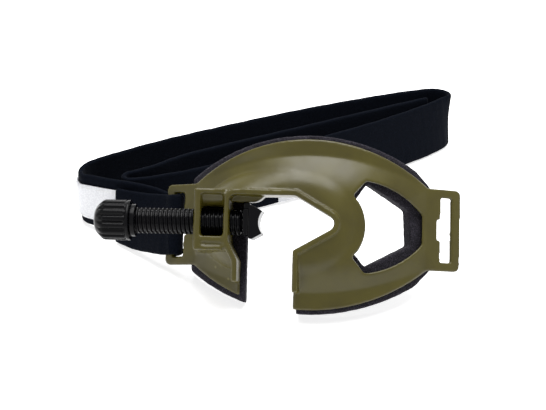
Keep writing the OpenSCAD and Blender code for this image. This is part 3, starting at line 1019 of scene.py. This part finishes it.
@dataclass
class Holder:
    """The plate with its foam pad and adhesive film. Lengths are in millimetres."""

    face_r: float = 84.0  # radius of the rim round the face
    dome_r: float = 67.0  # radius of the dome across
    dome_rise: float = 6.2  # how far the dome's middle stands forward of the rim
    half_h: float = 33.7  # half the plate's height
    edge_r: float = 72.4  # radius of its upper and lower edges
    ear_root: float = 48.0  # where the ears start, from the plate's middle
    wall: float = 2.0  # thickness of the sheet
    rim_w: float = 6.6  # width of the flat rim
    dome_side: float = 1.5  # from the dome's end to the ear's root
    dome_edge_r: float = 105.0  # radius of the dome's upper and lower borders
    lip_front: float = 8.6
    lip_w: float = 2.2
    lip_proud: float = 0.15
    lip_end_left: float = -23.4
    lip_end_right: float = -27.0
    arch_front: float = 7.4
    arch_x: float = -13.0
    arch_half_w: float = 32.0
    arch_half_h: float = 21.4
    arch_power: float = 2.2
    dome_shoulder: float = 16.0
    arch_shoulder: float = 10.0
    tube_half: float = 10.5
    notch_x: float = 13.5
    notch_r: float = 3.0
    notch_angle: float = math.radians(30.0)
    opening_left: float = -30.5
    entry_left: float = -26.8
    entry_right: float = -5.3
    entry_top: float = -15.0
    entry_step: float = -8.0
    corner_r: float = 2.4
    window_z: float = -0.6
    window_side_r: float = 33.6
    window_side_x: float = 18.4
    window_half: float = 18.3
    window_left: float = 17.6
    window_right: float = 44.6
    window_corner: float = 12.0
    window_bow_r: float = 18.0
    window_bow_x: float = 22.6
    foam_back_r: float = 75.7
    foam_half: float = 35.4
    foam_edge_r: float = 79.0
    foam_half_w: float = 48.5
    arch_shares: tuple[float, float] = (0.6, 0.4)  # straight and rounded parts of its slope
    arch_fade: float = 3.0  # the arch sinks into the dome's border over this much
    window_cut: float = 4.8  # how far its left corners are cut off
    window_bow_half: float = 9.6
    lip_sink: float = 0.2  # the lip's back stands this far inside the sheet's
    lip_drop: tuple[float, float, float] = (1.2, 20.0, 8.0)  # drop at its foot, its start, its length
    through: float = 30.0  # half the depth of a cutter
    sheet_voxel: float = 0.42
    sheet_rounds: int = 3
    voxel: float = 0.47
    all_rounds: int = 3
    housing_rounds: int = 6
    crease_rounds: int = 9
    crease_w: float = 4.0
    border_w: float = 3.0
    border_share: float = 0.3
    edge_keep: tuple[float, float] = (1.0, 3.0)  # edges stay crisp this far in, then over this much
    housing_x: tuple[float, float] = (-29.0, 2.0)
    housing_z: tuple[float, float] = (14.0, 2.0)
    housing_box: Box = ((-46, -9.5, -11.45), (-30.45, 20, 12.75))
    rail_box: Box = ((-31, -6, 7.5), (-15, 4, 10.9))
    ear_boxes: tuple[Box, Box] = (((46.8, -5, -18), (66, 50, 18)), ((-66, -5, -18), (-46.8, 50, 18)))
    recess_box: Box = ((-42.5, -7.7, -10.1), (-32.0, -4.0, -8.0))  # fills the recess but for its front
    pocket_box: Box = ((-43.0, -20, -11.5), (-32.0, 9.6, 12.4))
    foam_voxel: float = 0.6
    foam_rounds: int = 3
    foam_taper: tuple[float, float, float] = (0.13, 41.5, 7.0)  # share, its start in x, its length
    foam_hold: float = 8.0  # the outer edge keeps its place, fading inwards over this much
    foam_bend: tuple[float, float] = (8.0, 7.0)  # the bend's start in x, and its length
    foam_ripple: float = 0.06
    pieces: list[bpy.types.Object] = field(default_factory=list)

    def dome_inside(self, points: Array) -> Array:
        """How far inside the dome's border each point lies. Outside is negative."""
        return lens_inside(points, self.half_h - self.rim_w, self.dome_edge_r, self.ear_root - self.dome_side)

    def arch_inside(self, points: Array) -> Array:
        """How far inside the raised arch each point lies. Outside is negative.

        Args:
            points: Places, (n, 2).

        Returns:
            The distance of each, along a line from the middle.
        """
        off = np.abs(points - [self.arch_x, 0])
        power, halves = self.arch_power, [self.arch_half_w, self.arch_half_h]
        reach = ((off / halves) ** power).sum(1) ** (1 / power)
        return (1 - reach) * np.hypot(*off.T) / np.maximum(reach, 0.05)

    def plate_outline(self) -> Array:
        """The plate's outer edge as a closed outline.

        Returns:
            Its corners, (n, 2).
        """
        centre = self.edge_r - self.half_h
        side = math.degrees(math.acos(self.ear_root / self.edge_r))
        top = arc(0, -centre, self.edge_r, side, 180 - side, 90)
        return np.concatenate([top, -top])

    def opening_outline(self, grow: float = 0.0, bottom: float = -60.0) -> Array:
        """The tube opening with its entry gap, open at the bottom, made larger by grow.

        Args:
            grow: How much larger.
            bottom: How low its open end is.

        Returns:
            Its corners, (n, 2).
        """
        tip = self.notch_x + grow / math.sin(self.notch_angle)
        centre = self.notch_x - self.notch_r / math.sin(self.notch_angle)
        r = self.notch_r + grow
        top = self.tube_half + grow
        slope = math.tan(self.notch_angle)
        left = self.opening_left - grow
        low_left = self.entry_left - grow
        low_right = self.entry_right + grow
        side = math.atan2(self.entry_left - self.opening_left, self.entry_step - self.entry_top)
        shift = grow * math.tan(side / 2)
        corner = self.corner_r + grow
        return np.concatenate(
            [
                arc(left + corner, top - corner, corner, 180, 90, 10),
                [[tip - top / slope, top]],
                arc(centre, 0, r, 60, -60, 24),
                [[low_right, -(tip - low_right) * slope]],
                [[low_right, bottom], [low_left, bottom]],
                [[low_left, self.entry_top - shift], [left, self.entry_step - shift]],
            ]
        )

    def window_outline(self) -> Array:
        """The side window as a closed outline, with its left side bowed inwards.

        Returns:
            Its corners, (n, 2).
        """
        centre = self.window_side_r - self.window_half
        xs = np.linspace(self.window_right, self.window_left + self.window_cut, 30)
        height = np.sqrt(self.window_side_r**2 - (xs - self.window_side_x) ** 2) - centre
        upper = np.stack([xs, height], axis=1)
        bow = math.degrees(math.asin(self.window_bow_half / self.window_bow_r))
        left = arc(self.window_bow_x - self.window_bow_r, 0, self.window_bow_r, bow, -bow, 24)
        half = np.concatenate([upper, [[self.window_left, self.window_corner]]])
        return np.concatenate([half, left, half[::-1] * [1, -1]]) + [0, self.window_z]

    def rim_depth(self, x: Array) -> Array:
        """Depth of the rim's front, curved round the face."""
        return self.face_r - np.sqrt(self.face_r**2 - x * x)

    def front_depth(self, points: Array) -> Array:
        """Depth of the plate's front at each point: rim, dome and arch, with soft shoulders.

        The rim is an arc. The dome is another, reached along a quarter sine wave from the border, and
        the arch is level, reached along a slope that is partly straight and partly a quarter sine.

        Args:
            points: Places as (n, 2), x and z in the plate's frame.

        Returns:
            The depth of each.
        """
        x = points[:, 0]
        rim = self.rim_depth(x)
        dome = self.dome_r - self.dome_rise - np.sqrt(self.dome_r**2 - x * x)
        inside = self.dome_inside(points)
        shoulder = np.sin(np.clip(inside / self.dome_shoulder, 0, 1) * math.pi / 2)
        base = rim + (dome - rim) * shoulder
        up = np.clip(self.arch_inside(points) / self.arch_shoulder, 0, 1)
        straight, rounded = self.arch_shares
        rise = straight * up + rounded * np.sin(up * math.pi / 2)
        return base + (-self.arch_front - base) * rise * ease(inside / self.arch_fade)

    def bent_sheet(self) -> bpy.types.Object:
        """The plate's sheet: cut flat from its outlines, then bent to its front's depth.

        Returns:
            The object.
        """
        sheet = prism("plate_sheet", self.plate_outline(), 0.0, self.wall)
        for name, outline in (("opening", self.opening_outline()), ("window", self.window_outline())):
            combined(sheet, prism("cut_" + name, outline, -self.through, self.through), "DIFFERENCE")
        remeshed(sheet, self.sheet_voxel)
        smoothed(sheet, self.sheet_rounds)
        flat = PLATE.into(coordinates(sheet))
        places = flat[:, [0, 2]]
        flat[:, 1] += self.front_depth(places)
        set_coordinates(sheet, PLATE.out(flat))
        return sheet

    def lip_ring(self) -> bpy.types.Object:
        """The lip round the tube opening, a wall from its front edge back to the rim.

        It ends where the dome does, higher on the left of the entry gap than on the right.

        Returns:
            The object.
        """
        inner = self.opening_outline(0.0, self.lip_end_right)
        outer = self.opening_outline(self.lip_w, self.lip_end_right)
        order = np.roll(np.arange(len(inner)), -(len(inner) - 3))
        inner, outer = inner[order], outer[order]
        inner[0, 1] = outer[0, 1] = self.lip_end_left
        loop = np.concatenate([inner, outer[::-1]])
        back = self.rim_depth(loop[:, 0]) + self.wall - self.lip_sink
        drop, start, length = self.lip_drop
        front = -self.lip_front - self.lip_proud + drop * ease((-loop[:, 1] - start) / length)
        return prism("plate_lip", loop, front, back)

    def cad_portion(self, low: Sequence[float], high: Sequence[float]) -> bpy.types.Object:
        """The piece of the CAD face plate between two corners in the plate's frame."""
        return combined(cad_copy("face_plate", "plate_portion"), plate_block(low, high), "INTERSECT")

    def face_plate_moulding(self) -> bpy.types.Object:
        """The whole olive moulding as one surface with softly rounded edges.

        Its solids overlap, an even grid joins them, and each vertex then moves towards its
        neighbours' middle: most along the arch's crease, some along the dome's border.

        Returns:
            The object.
        """
        housing = self.cad_portion(*self.housing_box)
        rail = self.cad_portion(*self.rail_box)
        ears = [self.cad_portion(*box) for box in self.ear_boxes]
        recess = plate_block(*self.recess_box)
        plate = self.bent_sheet()
        combined(plate, plate_block(*self.pocket_box), "DIFFERENCE")
        plate = joined("face_plate_moulding", [plate, self.lip_ring(), housing, recess, rail, *ears])
        remeshed(plate, self.voxel)
        local = PLATE.into(coordinates(plate))
        places = local[:, [0, 2]]
        crease = np.abs(self.arch_inside(places))
        border = np.abs(self.dome_inside(places))
        edge_clear = np.minimum.reduce([
            outline_distance(places, self.opening_outline(self.lip_w)),
            outline_distance(places, self.window_outline()),
            lens_inside(places, self.half_h, self.edge_r, self.ear_root)])
        keep, over = self.edge_keep
        soft = ease((edge_clear - keep) / over) * (local[:, 0] > self.opening_left)
        (x_from, x_over), (z_to, z_over) = self.housing_x, self.housing_z
        near = ease((x_from - local[:, 0]) / x_over) * ease((z_to - np.abs(local[:, 2])) / z_over)
        fold = np.maximum(1 - crease / self.crease_w, self.border_share * (border < self.border_w))
        smoothed(plate, self.all_rounds)
        smoothed(plate, self.housing_rounds, near)
        smoothed(plate, self.crease_rounds, soft * fold.clip(0, 1))
        return plate

    def foam_face_pad(self) -> bpy.types.Object:
        """The foam pad, die-cut flat and bent round the face, so that its walls turn with it.

        A place at x and at reach r from the face's axis moves to the angle whose sine is x over
        the back's radius, at the same reach. The outer edge keeps its place.

        Returns:
            The object.
        """
        foam = remeshed(cad_copy("foam_pad", "foam_face_pad"), self.foam_voxel)
        local = PLATE.into(coordinates(foam))
        share, start, length = self.foam_taper
        local[:, 2] *= 1 - share * ease((local[:, 0] - start) / length)
        reach = np.hypot(local[:, 0], self.face_r - local[:, 1])
        inside = lens_inside(local[:, [0, 2]], self.foam_half, self.foam_edge_r, self.foam_half_w)
        held = reach.max() - (reach.max() - self.foam_back_r) * ease(inside / self.foam_hold)
        turn = np.arcsin(local[:, 0] / held)
        bent = np.stack([reach * np.sin(turn), self.face_r - reach * np.cos(turn)], axis=1)
        start, length = self.foam_bend
        local[:, :2] += ease((local[:, :1] - start) / length) * (bent - local[:, :2])
        set_coordinates(foam, PLATE.out(local))
        smoothed(foam, self.foam_rounds)
        points = coordinates(foam)
        normals = np.zeros(len(points) * 3)
        foam.data.vertices.foreach_get("normal", normals)
        ripple = np.sin(points @ RIPPLE_WAVES[0]) * np.sin(points @ RIPPLE_WAVES[1])
        set_coordinates(foam, points + normals.reshape(-1, 3) * ripple[:, None] * self.foam_ripple * MM)
        return foam

    def build(self) -> None:
        """Makes the moulding and the pad, and finishes the film."""
        plate = self.face_plate_moulding()
        placed(plate, OLIVE_NYLON.material(), Slot.PLATE, Body.HOLDER, "face_plate")
        pad = placed(self.foam_face_pad(), GREY_FOAM.material(), Slot.FOAM, Body.HOLDER, "foam_pad")
        self.pieces += [plate, pad]
        node = frame["nodes"]["foam_adhesive"]
        node.data.materials.clear()
        node.data.materials.append(ADHESIVE_FILM.material())


@dataclass
class Clamp:
    """The thumb screw, its knob and the jaw. Lengths are in millimetres."""

    thread_r: float = 5.1
    thread_depth: float = 0.8
    pitch: float = 1.7
    collar_x: float = -68.1
    collar_t: float = 2.1
    collar_r: float = 6.4
    thread_end: float = -25.9
    knob_len: float = 14.4
    knob_r: float = 8.0
    knob_ribs: int = 16
    rows_per_turn: int = 16
    columns: int = 72
    crest: tuple[float, float, float] = (0.125, 0.1, 0.22)  # middle, half width and flank, in pitches
    flash_sink: float = 0.1  # the parting line stands this far under the crest
    flash_half: tuple[float, float] = (2.0, 4.0)  # degrees: its half width, and its fade
    end_cut: tuple[float, float] = (0.1, 1.2)  # thinnest share, and depth of the run-out
    spigot: tuple[float, float, float] = (8.0, 1.0, 3.4)  # length, overlap, radius
    neck: tuple[float, float, float, float] = (1.0, 2.1, 2.4, 0.1)  # start, end, radius, edge
    bead: tuple[float, float, float, float] = (1.9, 3.5, 3.2, 0.5)
    knob_gap: float = 0.02
    rib_h: float = 0.8
    knob_round: float = 4.6
    rib_columns: int = 14
    jaw_voxel: float = 0.2
    jaw_rounds: int = 5
    pieces: list[bpy.types.Object] = field(default_factory=list)

    def thread_surface(self) -> bpy.types.Object:
        """The screw's thread: flat crests, rounded roots and the mould's two parting lines.

        The radius falls from the crest with the distance, in pitches, from a helix.

        Returns:
            The object.
        """
        start = self.collar_x - 0.2
        rows = round((self.thread_end - start) / self.pitch * self.rows_per_turn)
        x = np.linspace(start, self.thread_end, rows + 1)[:, None]
        angle = np.linspace(0, 2 * math.pi, self.columns, endpoint=False)[None, :]
        turns = (x - start) / self.pitch - angle / (2 * math.pi)
        place = turns - np.floor(turns)
        middle, half, slope = self.crest
        flank = np.minimum(np.abs(place - middle), 1 - np.abs(place - middle))
        wave = 1 - ease((flank - half) / slope)
        r = self.thread_r - self.thread_depth * (1 - wave)
        off_seam = np.degrees(np.abs(np.abs(np.arctan2(np.sin(angle), np.cos(angle))) - math.pi / 2))
        wide, fade = self.flash_half
        flash = (self.thread_r - self.flash_sink) * (1 - ease((off_seam - wide) / fade))
        r = np.maximum(r, flash)
        thin, depth = self.end_cut
        taper = ease(self.thread_end - x) * (1 - thin) + thin
        r = np.minimum(r, self.thread_r - (1 - taper) * depth)
        x, angle = np.broadcast_to(x, r.shape), np.broadcast_to(angle, r.shape)
        return tube_mesh("thread", along_screw(x, r, angle))

    def thumb_screw(self) -> bpy.types.Object:
        """The moulded screw: thread, collar, spigot, and the beaded neck in the jaw.

        Returns:
            The object.
        """
        back = self.collar_x - self.collar_t
        collar = lathe("collar", rounded_disc(back, self.collar_x, self.collar_r))
        length, overlap, r = self.spigot
        spigot = lathe("spigot", rounded_disc(back - length, self.collar_x - overlap, r))
        start, end, r, soft = self.neck
        neck = lathe("neck", rounded_disc(self.thread_end - start, self.thread_end + end, r, soft))
        start, end, r, soft = self.bead
        bead = lathe("bead", rounded_disc(self.thread_end + start, self.thread_end + end, r, soft))
        return joined("thumb_screw", [self.thread_surface(), collar, spigot, neck, bead])

    def grip_knob(self) -> bpy.types.Object:
        """The knob: grip ribs that fade into a domed end, and a plain lip beside the collar.

        The ribs are a flattened cosine wave of the angle, scaled along the knob.

        Returns:
            The object.
        """
        end = self.collar_x - self.collar_t - self.knob_gap
        start = end - self.knob_len
        body = self.knob_r - self.rib_h
        round_r = self.knob_round
        turn = np.linspace(0.02, math.pi / 2, 18)
        dome = [(start + round_r * (1 - math.sin(a)), body - round_r * (1 - math.cos(a))) for a in turn[::-1]]
        face = [(start, r) for r in np.linspace(0.05, body - round_r, 5)[:-1]]
        side = [(x, body) for x in np.linspace(start + round_r, end - 1.5, 22)]
        x_all = np.array([p[0] for p in [*face, *dome, *side]])
        rib = ease((x_all - start - 1.2) / 3.2) * (1 - ease((x_all - (end - 1.9)) / 0.4))
        lip_profile = [(end - 1.35, body + 0.35), (end - 1.2, self.knob_r - 0.1), (end - 0.95, self.knob_r),
                       (end - 0.25, self.knob_r), (end - 0.05, self.knob_r - 0.2), (end, self.knob_r - 0.5),
                       (end, 5.0), (end, 3.6), (end - 1.5, 3.5)]
        profile = np.array([*face, *dome, *side, *lip_profile])
        height = np.concatenate([rib, np.zeros(len(lip_profile))])
        columns = self.knob_ribs * self.rib_columns
        angle = np.linspace(0, 2 * math.pi, columns, endpoint=False)[None, :]
        wave = 0.5 + 0.5 * np.cos(angle * self.knob_ribs)
        crest = np.clip(wave * 1.5, 0, 1) ** 0.7
        r = profile[:, 1:] + height[:, None] * self.rib_h * crest
        x = np.broadcast_to(profile[:, :1], r.shape)
        return tube_mesh("grip_knob", along_screw(x, r, np.broadcast_to(angle, r.shape)))

    def cradle_jaw_moulding(self) -> bpy.types.Object:
        """The jaw, with moulded edges.

        Returns:
            The object.
        """
        jaw = remeshed(cad_copy("cradle_jaw", "cradle_jaw_moulding"), self.jaw_voxel)
        smoothed(jaw, self.jaw_rounds)
        return jaw

    def build(self) -> None:
        """Makes the three mouldings."""
        black = BLACK_NYLON.material()
        for obj, body, node in (
            (self.thumb_screw(), Body.SCREW, "clamp_screw"),
            (self.grip_knob(), Body.SCREW, "screw_knob"),
            (self.cradle_jaw_moulding(), Body.JAW, "cradle_jaw"),
        ):
            self.pieces.append(placed(obj, black, Slot.BLACK, body, node))


EXIT_MM = np.array([[-12.1, 8.1, 0.3, 0.66], [-23.7, 14.1, -0.3, 0.26]])
"""The strap's first places after the ear: how far from it in x, y and height, and the lean."""

ROUTE_MM = np.array([
    [-74.6, -3.6, 0.1], [-79.5, -0.4, 0.0], [-80.8, 4, 0.0], [-77.5, 9.6, 0.04],
    [-67.8, 15.2, 0.12], [-47.8, 25, 0.3], [-24.8, 35.2, 0.42], [12.2, 50.6, 0.46],
    [47.2, 63, 0.46], [70.2, 69.6, 0.42], [78.7, 69.8, 0.36], [81.9, 66.6, 0.36],
    [79.5, 62.2, 0.4], [72.2, 56.2, 0.44], [60.2, 48.2, 0.46], [42.2, 37.6, 0.46],
    [12.2, 22.3, 0.46], [-17.8, 8.4, 0.42], [-33.8, 1.4, 0.36], [-48.8, -3.2, 0.28],
    [-57, -4.6, 0.2], [-60.5, -4.1, 0.16], [-62, -1.8, 0.16], [-60.5, 0.5, 0.16],
    [-57.1, 1.6, 0.2], [-47.8, 6.4, 0.28], [-32.8, 15.6, 0.36], [12.2, 35.6, 0.46],
    [60.2, 57, 0.46], [73.5, 62.6, 0.44]])
"""Where the strap stands on the table after that: x, y and its lean with the ear (0 to 1)."""


@dataclass
class NeckStrap:
    """The folded strap with its hook tapes and stitching. Lengths are in millimetres."""

    holder: Holder
    width: float = 25.0
    thickness: float = 2.3
    tape_w: float = 16.6
    tape_t: float = 1.0
    bar: float = 4.2  # width of the ear's outer bar
    ear_len: float = 15.0
    wrap_gap: float = 0.35
    layer_gap: float = 0.3
    steps: int = 12  # from one place of the route to the next
    lift: float = 0.8
    lift_fade: float = 0.8
    to_front: tuple[float, float, float] = (-0.53, -0.85, 0.0)
    fold_tip: float = 2.85  # where the fold's tip lies over the run, in places along it
    turn_steps: int = 14
    wobble: float = 0.25
    tape_wobble: float = 0.08
    tape_gap: float = 0.04
    ear_tape: tuple[float, float] = (2.2, 8.0)  # the tapes' ends, in places along the run
    window_tape: tuple[float, float] = (19.6, 20.42)
    window_tape_inset: float = 1.0
    seam_inset: float = 1.1
    seam_r: float = 0.12
    pieces: list[bpy.types.Object] = field(default_factory=list)

    @property
    def wrap_r(self) -> float:
        """Radius of the strap's middle line round the ear's bar."""
        return self.holder.wall / 2 + self.wrap_gap + self.thickness / 2

    @property
    def ear_angle(self) -> float:
        """How far the ear turns from the plate's middle, in radians."""
        return math.asin(self.holder.ear_root / self.holder.face_r)

    @property
    def slot_end(self) -> float:
        """Distance along the ear to the slot's outer end."""
        return self.ear_len - self.bar

    @property
    def fold_gap(self) -> float:
        """From the run's middle line to that of the layer folded over it."""
        return self.thickness + self.tape_t + self.layer_gap

    def at_ear(self, along: float, out: float) -> list[float]:
        """A place on the strap's line at the left ear, leaning with it.

        Args:
            along: Distance along the ear from its root, in millimetres.
            out: Distance into the face from the ear's front, in millimetres.

        Returns:
            x, y, z and a lean of 1.
        """
        c, s = math.cos(self.ear_angle), math.sin(self.ear_angle)
        rim = float(self.holder.rim_depth(np.array(self.holder.ear_root)))
        place = [-self.holder.ear_root - along * c + out * s, rim + along * s + out * c, 0.0]
        return [*(PLATE.out(np.array(place)) / MM), 1.0]

    def stood(self) -> Array:
        """The route's places on the table, as high as brings the leaning strap's edge down to it.

        Returns:
            x, y, height and lean of each, (n, 4).
        """
        lean = ROUTE_MM[:, 2:]
        wide = lean * PLATE.turn[:, 2] + (1 - lean) * np.array([0.0, 0.0, 1.0])
        wide /= np.linalg.norm(wide, axis=1, keepdims=True)
        height = self.width / 2 * wide[:, 2] + self.thickness / 2 * np.hypot(wide[:, 0], wide[:, 1])
        height += self.lift * np.exp(-np.arange(len(height)) / self.lift_fade)
        return np.stack([ROUTE_MM[:, 0], ROUTE_MM[:, 1], height, ROUTE_MM[:, 2]], axis=1)

    def strap_route(self) -> tuple[Array, int]:
        """The strap's whole middle line, from the tip of its fold to its free end.

        Returns:
            The line as x, y, z and lean, in millimetres, and where on it the run from the bar starts.
        """
        to_front = np.array(self.to_front)

        def folded(place: Array, gap: float, drop: float, lean: float) -> Array:
            """A place on the layer that is folded back in front of the run."""
            return np.array([*(place[:3] + to_front * gap - [0, 0, drop]), lean])

        leave = np.array(self.at_ear(self.ear_len, self.holder.wall / 2 + self.wrap_r))
        after = EXIT_MM + [*leave[:3], 0]
        run = np.array([
            self.at_ear(self.slot_end, self.holder.wall / 2 + self.wrap_r),
            self.at_ear(self.ear_len, self.holder.wall / 2 + self.wrap_r + self.wrap_gap)])
        line = curve_through(np.concatenate([run, after, self.stood()]), self.steps)
        tip = line[int(self.fold_tip * self.steps)]
        fold = np.array([
            folded(tip, self.fold_gap + 0.3, 1.5, 0.3),
            folded(after[0], self.fold_gap + 0.8, 1.3, 0.62),
            self.at_ear(self.ear_len, self.holder.wall / 2 - self.wrap_r),
            self.at_ear(self.slot_end, self.holder.wall / 2 - self.wrap_r)])
        r, half_wall = self.wrap_r, self.holder.wall / 2
        turn = [self.at_ear(self.slot_end - r * math.sin(a), half_wall - r * math.cos(a))
                for a in np.linspace(0, math.pi, self.turn_steps)[1:-1]]
        front = curve_through(fold, self.steps)
        return np.concatenate([front, np.array(turn), line]), len(front) + len(turn)

    def build(self) -> None:
        """Sweeps the strap along its route, then lays the tapes and stitches on it."""
        route, run_start = self.strap_route()
        line = Ribbon.along(route)
        strap = swept_band("neck_strap_webbing", line, self.width, self.thickness, wobble=self.wobble)
        placed(strap, LOOP_FABRIC.material(), Slot.STRAP, Body.HOLDER, "neck_strap", "strap_ear_end")
        line.length() * MM
        off = -(self.thickness + self.tape_t) / 2 - self.tape_gap
        near = line.part(run_start + int(self.ear_tape[0] * self.steps),
                         run_start + int(self.ear_tape[1] * self.steps) + 1)
        far = line.part(*(run_start + round(end * self.steps) for end in self.window_tape))
        for name, ribbon, width, node in (
            ("ear_end_hook_tape", near, self.tape_w, "hook_tape_ear_end"),
            ("free_end_hook_tape", far, self.width - self.window_tape_inset, "hook_tape_free_end"),
        ):
            tape = swept_band(name, ribbon, width, self.tape_t - self.tape_gap, off, self.tape_wobble)
            placed(tape, HOOK_TAPE.material(), Slot.TAPE, Body.HOLDER, node)
            ribbon.length() * MM
            rows = (self.seam_inset - width / 2, width / 2 - self.seam_inset)
            seam = stitches(name + "_stitches", ribbon, rows, off - self.tape_t / 2, radius=self.seam_r)
            self.pieces += [tape, placed(seam, WHITE_THREAD.material(), Slot.TAPE, Body.HOLDER)]
        self.pieces.append(strap)


# ---------------------------------------------------------------- stage
@dataclass(frozen=True)
class SoftBox:
    """One rectangular light, aimed at the object. Lengths are in metres."""

    name: str
    at: tuple[float, float, float]
    size: tuple[float, float]
    watts: float


@dataclass
class Studio:
    """A white sweep, soft light from above and the front, and the camera."""

    lens: float = 94.15
    clip: tuple[float, float] = (0.01, 20.0)
    camera_at: tuple[float, float, float] = (1.1, -506.2, 356.8)  # millimetres
    look_down: float = 34.5  # degrees
    half_floor: float = 3.0
    floor_z: float = -0.0003
    floor_white: float = 0.9
    floor_glow: float = 0.72
    sky_light: float = 0.22
    aim: tuple[float, float, float] = (0.0, -0.02, 0.03)
    lights: tuple[SoftBox, ...] = (
        SoftBox("key_overhead", (0.1, 0.26, 0.95), (0.9, 0.9), 17.0),
        SoftBox("fill_front_left", (-0.9, -0.8, 0.6), (0.4, 0.6), 1.6),
    )

    def build(self) -> None:
        """Sets the view and puts everything in its place."""
        bpy.context.scene.view_settings.view_transform = "Standard"
        self.camera()
        self.floor()
        self.world()
        for light in self.lights:
            self.lamp(light)

    def camera(self) -> None:
        """Adds the camera."""
        data = bpy.data.cameras.new("camera")
        data.lens = self.lens
        data.clip_start, data.clip_end = self.clip
        camera = bpy.data.objects.new("camera", data)
        camera.location = Vector(self.camera_at) * MM
        camera.rotation_euler = (math.radians(90 - self.look_down), 0, 0)
        bpy.context.scene.collection.objects.link(camera)
        bpy.context.scene.camera = camera

    def floor(self) -> None:
        """Adds the sweep: matt white paper, whose glow keeps it white under the soft light."""
        corners = np.array([[-1, -1, 0], [1, -1, 0], [1, 1, 0], [-1, 1, 0]]) * self.half_floor
        floor = new_mesh("floor", corners + [0, 0, self.floor_z], [[0, 1, 2, 3]])
        material = bpy.data.materials.new("white_paper_sweep")
        material.use_nodes = True
        base = material.node_tree.nodes["Principled BSDF"]
        base.inputs["Base Color"].default_value = (*[self.floor_white] * 3, 1)
        base.inputs["Roughness"].default_value = 0.9
        base.inputs["Specular IOR Level"].default_value = 0.1
        base.inputs["Emission Color"].default_value = (1, 1, 1, 1)
        base.inputs["Emission Strength"].default_value = self.floor_glow
        floor.data.materials.append(material)

    def world(self) -> None:
        """A dim sky that is white where the camera, a reflection or a glass sees it."""
        world = bpy.data.worlds.new("studio")
        world.use_nodes = True
        bpy.context.scene.world = world
        nodes, links = world.node_tree.nodes, world.node_tree.links
        sky, seen = nodes["Background"], nodes.new("ShaderNodeBackground")
        for node, strength in ((sky, self.sky_light), (seen, 1.0)):
            node.inputs["Color"].default_value = (1, 1, 1, 1)
            node.inputs["Strength"].default_value = strength
        path = nodes.new("ShaderNodeLightPath")
        seen_by = path.outputs["Is Camera Ray"]
        for ray in ("Is Glossy Ray", "Is Transmission Ray"):
            either = nodes.new("ShaderNodeMath")
            either.operation = "MAXIMUM"
            links.new(seen_by, either.inputs[0])
            links.new(path.outputs[ray], either.inputs[1])
            seen_by = either.outputs[0]
        mix = nodes.new("ShaderNodeMixShader")
        for socket, source in enumerate((seen_by, sky.outputs[0], seen.outputs[0])):
            links.new(source, mix.inputs[socket])
        links.new(mix.outputs[0], nodes["World Output"].inputs["Surface"])

    def lamp(self, light: SoftBox) -> None:
        """Adds one light.

        Args:
            light: The light.
        """
        data = bpy.data.lights.new(light.name, "AREA")
        data.shape = "RECTANGLE"
        data.size, data.size_y = light.size
        data.energy = light.watts
        lamp = bpy.data.objects.new(light.name, data)
        lamp.location = light.at
        towards = Vector(self.aim) - Vector(light.at)
        lamp.rotation_euler = towards.to_track_quat("-Z", "Y").to_euler()
        bpy.context.scene.collection.objects.link(lamp)


def main() -> None:
    """Builds the stage and the three sub-assemblies."""
    logging.basicConfig(level=logging.INFO)
    Studio().build()
    holder = Holder()
    for group in (holder, Clamp(), NeckStrap(holder)):
        group.build()
        for piece in group.pieces:
            LOG.info("%s: %d faces", piece.name, len(piece.data.polygons))


if __name__ == "__main__":
    main()
